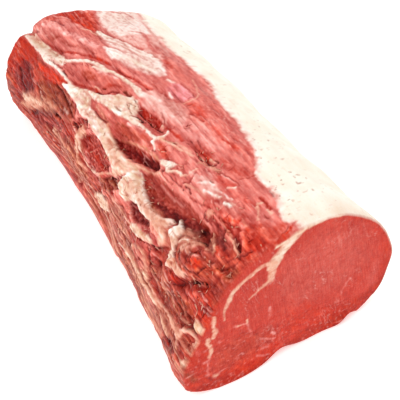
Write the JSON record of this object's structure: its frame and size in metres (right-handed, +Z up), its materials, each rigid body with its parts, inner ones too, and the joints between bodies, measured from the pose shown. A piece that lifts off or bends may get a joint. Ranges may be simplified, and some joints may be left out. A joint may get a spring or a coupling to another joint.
{
  "type": "boneless rib eye roll",
  "caption": "Whole raw boneless rib eye joint of beef with a white fat cover, a straight cut face and a ragged rib side, lying on its flat side.",
  "frame": {"origin": "under the middle of the joint, at the bottom centre of its bounding box, on the surface that it lies on", "axes": "+Y along the muscles from the straight near cut to the slanted far cut, +X towards the fat cover, +Z up"},
  "size_m": [0.2012, 0.4208, 0.1268],
  "materials": {
    "raw_beef": "moist, raw"
  },
  "bodies": {
    "root": {"rib_eye_roll": "raw_beef"}
  },
  "joints": []
}
